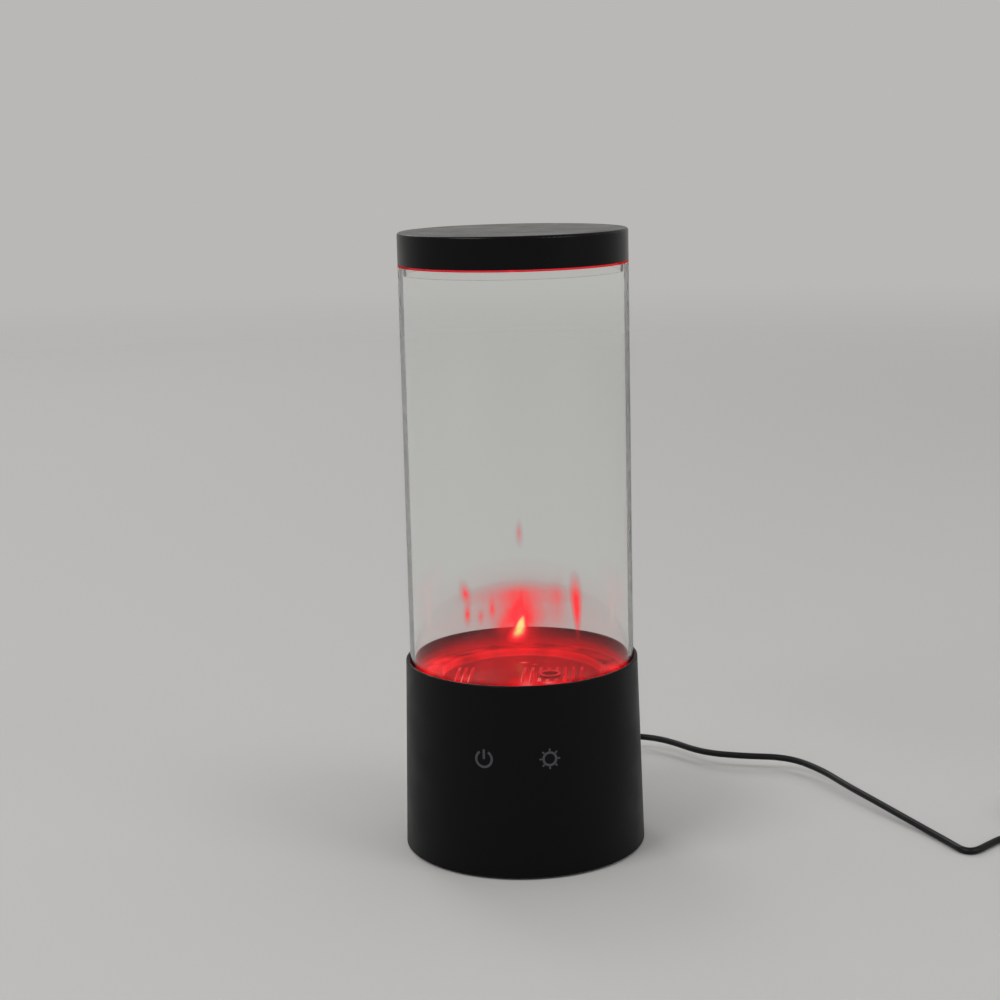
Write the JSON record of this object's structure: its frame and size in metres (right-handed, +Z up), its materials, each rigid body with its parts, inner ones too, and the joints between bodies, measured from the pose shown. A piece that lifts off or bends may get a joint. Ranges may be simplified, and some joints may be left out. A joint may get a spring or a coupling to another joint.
{
  "type": "table lamp",
  "caption": "Round table lamp: a clear upright tank on a black base that lights its floor and holds a magnetic pump, with a lift-off lid, touch marks and a coiled USB lead.",
  "frame": {"origin": "on the table at the centre of the round base", "axes": "+Z up along the tube, -Y to the front with the touch marks, +X to the right"},
  "size_m": [0.3263, 0.1781, 0.2657],
  "materials": {
    "housing_plastic": "satin moulded black ABS",
    "lid_plastic": "smooth moulded black ABS",
    "clear_acrylic": "clear cast acrylic",
    "clear_moulding": "clear moulded polycarbonate",
    "silicone": "soft translucent silicone",
    "pad_rubber": "matt rubber",
    "cover_plastic": "textured moulded black ABS",
    "screw_steel": "zinc plated steel",
    "carrier_plastic": "moulded grey nylon",
    "motor_steel": "drawn plated steel",
    "cap_plastic": "moulded white nylon",
    "magnet_ferrite": "sintered ferrite",
    "magnet_nickel": "nickel plated magnet",
    "disc_plastic": "moulded acetal",
    "impeller_plastic": "moulded white acetal",
    "board_fibre": "green coated glass fibre board",
    "board_white": "white coated glass fibre board",
    "lamp_lens": "moulded light package",
    "chip_epoxy": "moulded epoxy",
    "capacitor_sleeve": "sleeved aluminium can",
    "socket_plastic": "moulded white nylon",
    "touch_foam": "conductive foam",
    "lead_pvc": "soft black PVC",
    "wire_pvc": "thin PVC sleeved wire",
    "plug_pvc": "moulded black PVC",
    "tie_strap": "moulded nylon strap",
    "plug_steel": "nickel plated steel"
  },
  "bodies": {
    "lamp": {"base_housing": "housing_plastic", "bottom_cover": "cover_plastic", "foot_pads": "pad_rubber", "cover_screws": "screw_steel", "tank_tube": "clear_acrylic", "tank_floor": "clear_moulding", "tank_seal": "silicone", "volute_plate": "clear_moulding", "pump_cover": "clear_moulding", "impeller_pin": "screw_steel", "motor_can": "motor_steel", "motor_end_cap": "cap_plastic", "motor_screws": "screw_steel", "motor_carrier": "carrier_plastic", "carrier_screws": "screw_steel", "led_board": "board_white", "leds": "lamp_lens", "main_board": "board_fibre", "controller_chip": "chip_epoxy", "power_capacitor": "capacitor_sleeve", "wire_sockets": "socket_plastic", "board_screws": "screw_steel", "touch_board": "board_fibre", "touch_pad_power": "touch_foam", "touch_pad_light": "touch_foam", "strain_relief": "plug_pvc", "inner_lead": "lead_pvc", "motor_wires": "wire_pvc", "light_wires": "wire_pvc", "touch_wires": "wire_pvc", "cord_lead": "lead_pvc", "cord_coil": "lead_pvc", "cord_tail": "lead_pvc", "coil_tie": "tie_strap", "usb_plug_body": "plug_pvc", "usb_plug_shell": "plug_steel", "usb_plug_tongue": "socket_plastic"},
    "lid": {"lid_cap": "lid_plastic", "lid_seal": "silicone"},
    "motor_rotor": {"motor_shaft": "screw_steel", "drive_disc": "disc_plastic", "drive_magnets": "magnet_nickel"},
    "impeller": {"impeller": "impeller_plastic", "impeller_magnet": "magnet_ferrite"}
  },
  "joints": [
    {"name": "lid_lift", "type": "slide", "parent": "lamp", "child": "lid", "axis": [0, 0, 1], "range_m": [0, 0.1]},
    {"name": "motor_spin", "type": "hinge", "parent": "lamp", "child": "motor_rotor", "pos_m": [0, 0, 0.045], "axis": [0, 0, 1], "continuous": true},
    {"name": "impeller_spin", "type": "hinge", "parent": "lamp", "child": "impeller", "pos_m": [0, 0, 0.062], "axis": [0, 0, 1], "continuous": true}
  ],
  "couplings": [
    {"joint": "impeller_spin", "follows": "motor_spin", "ratio": 1}
  ]
}
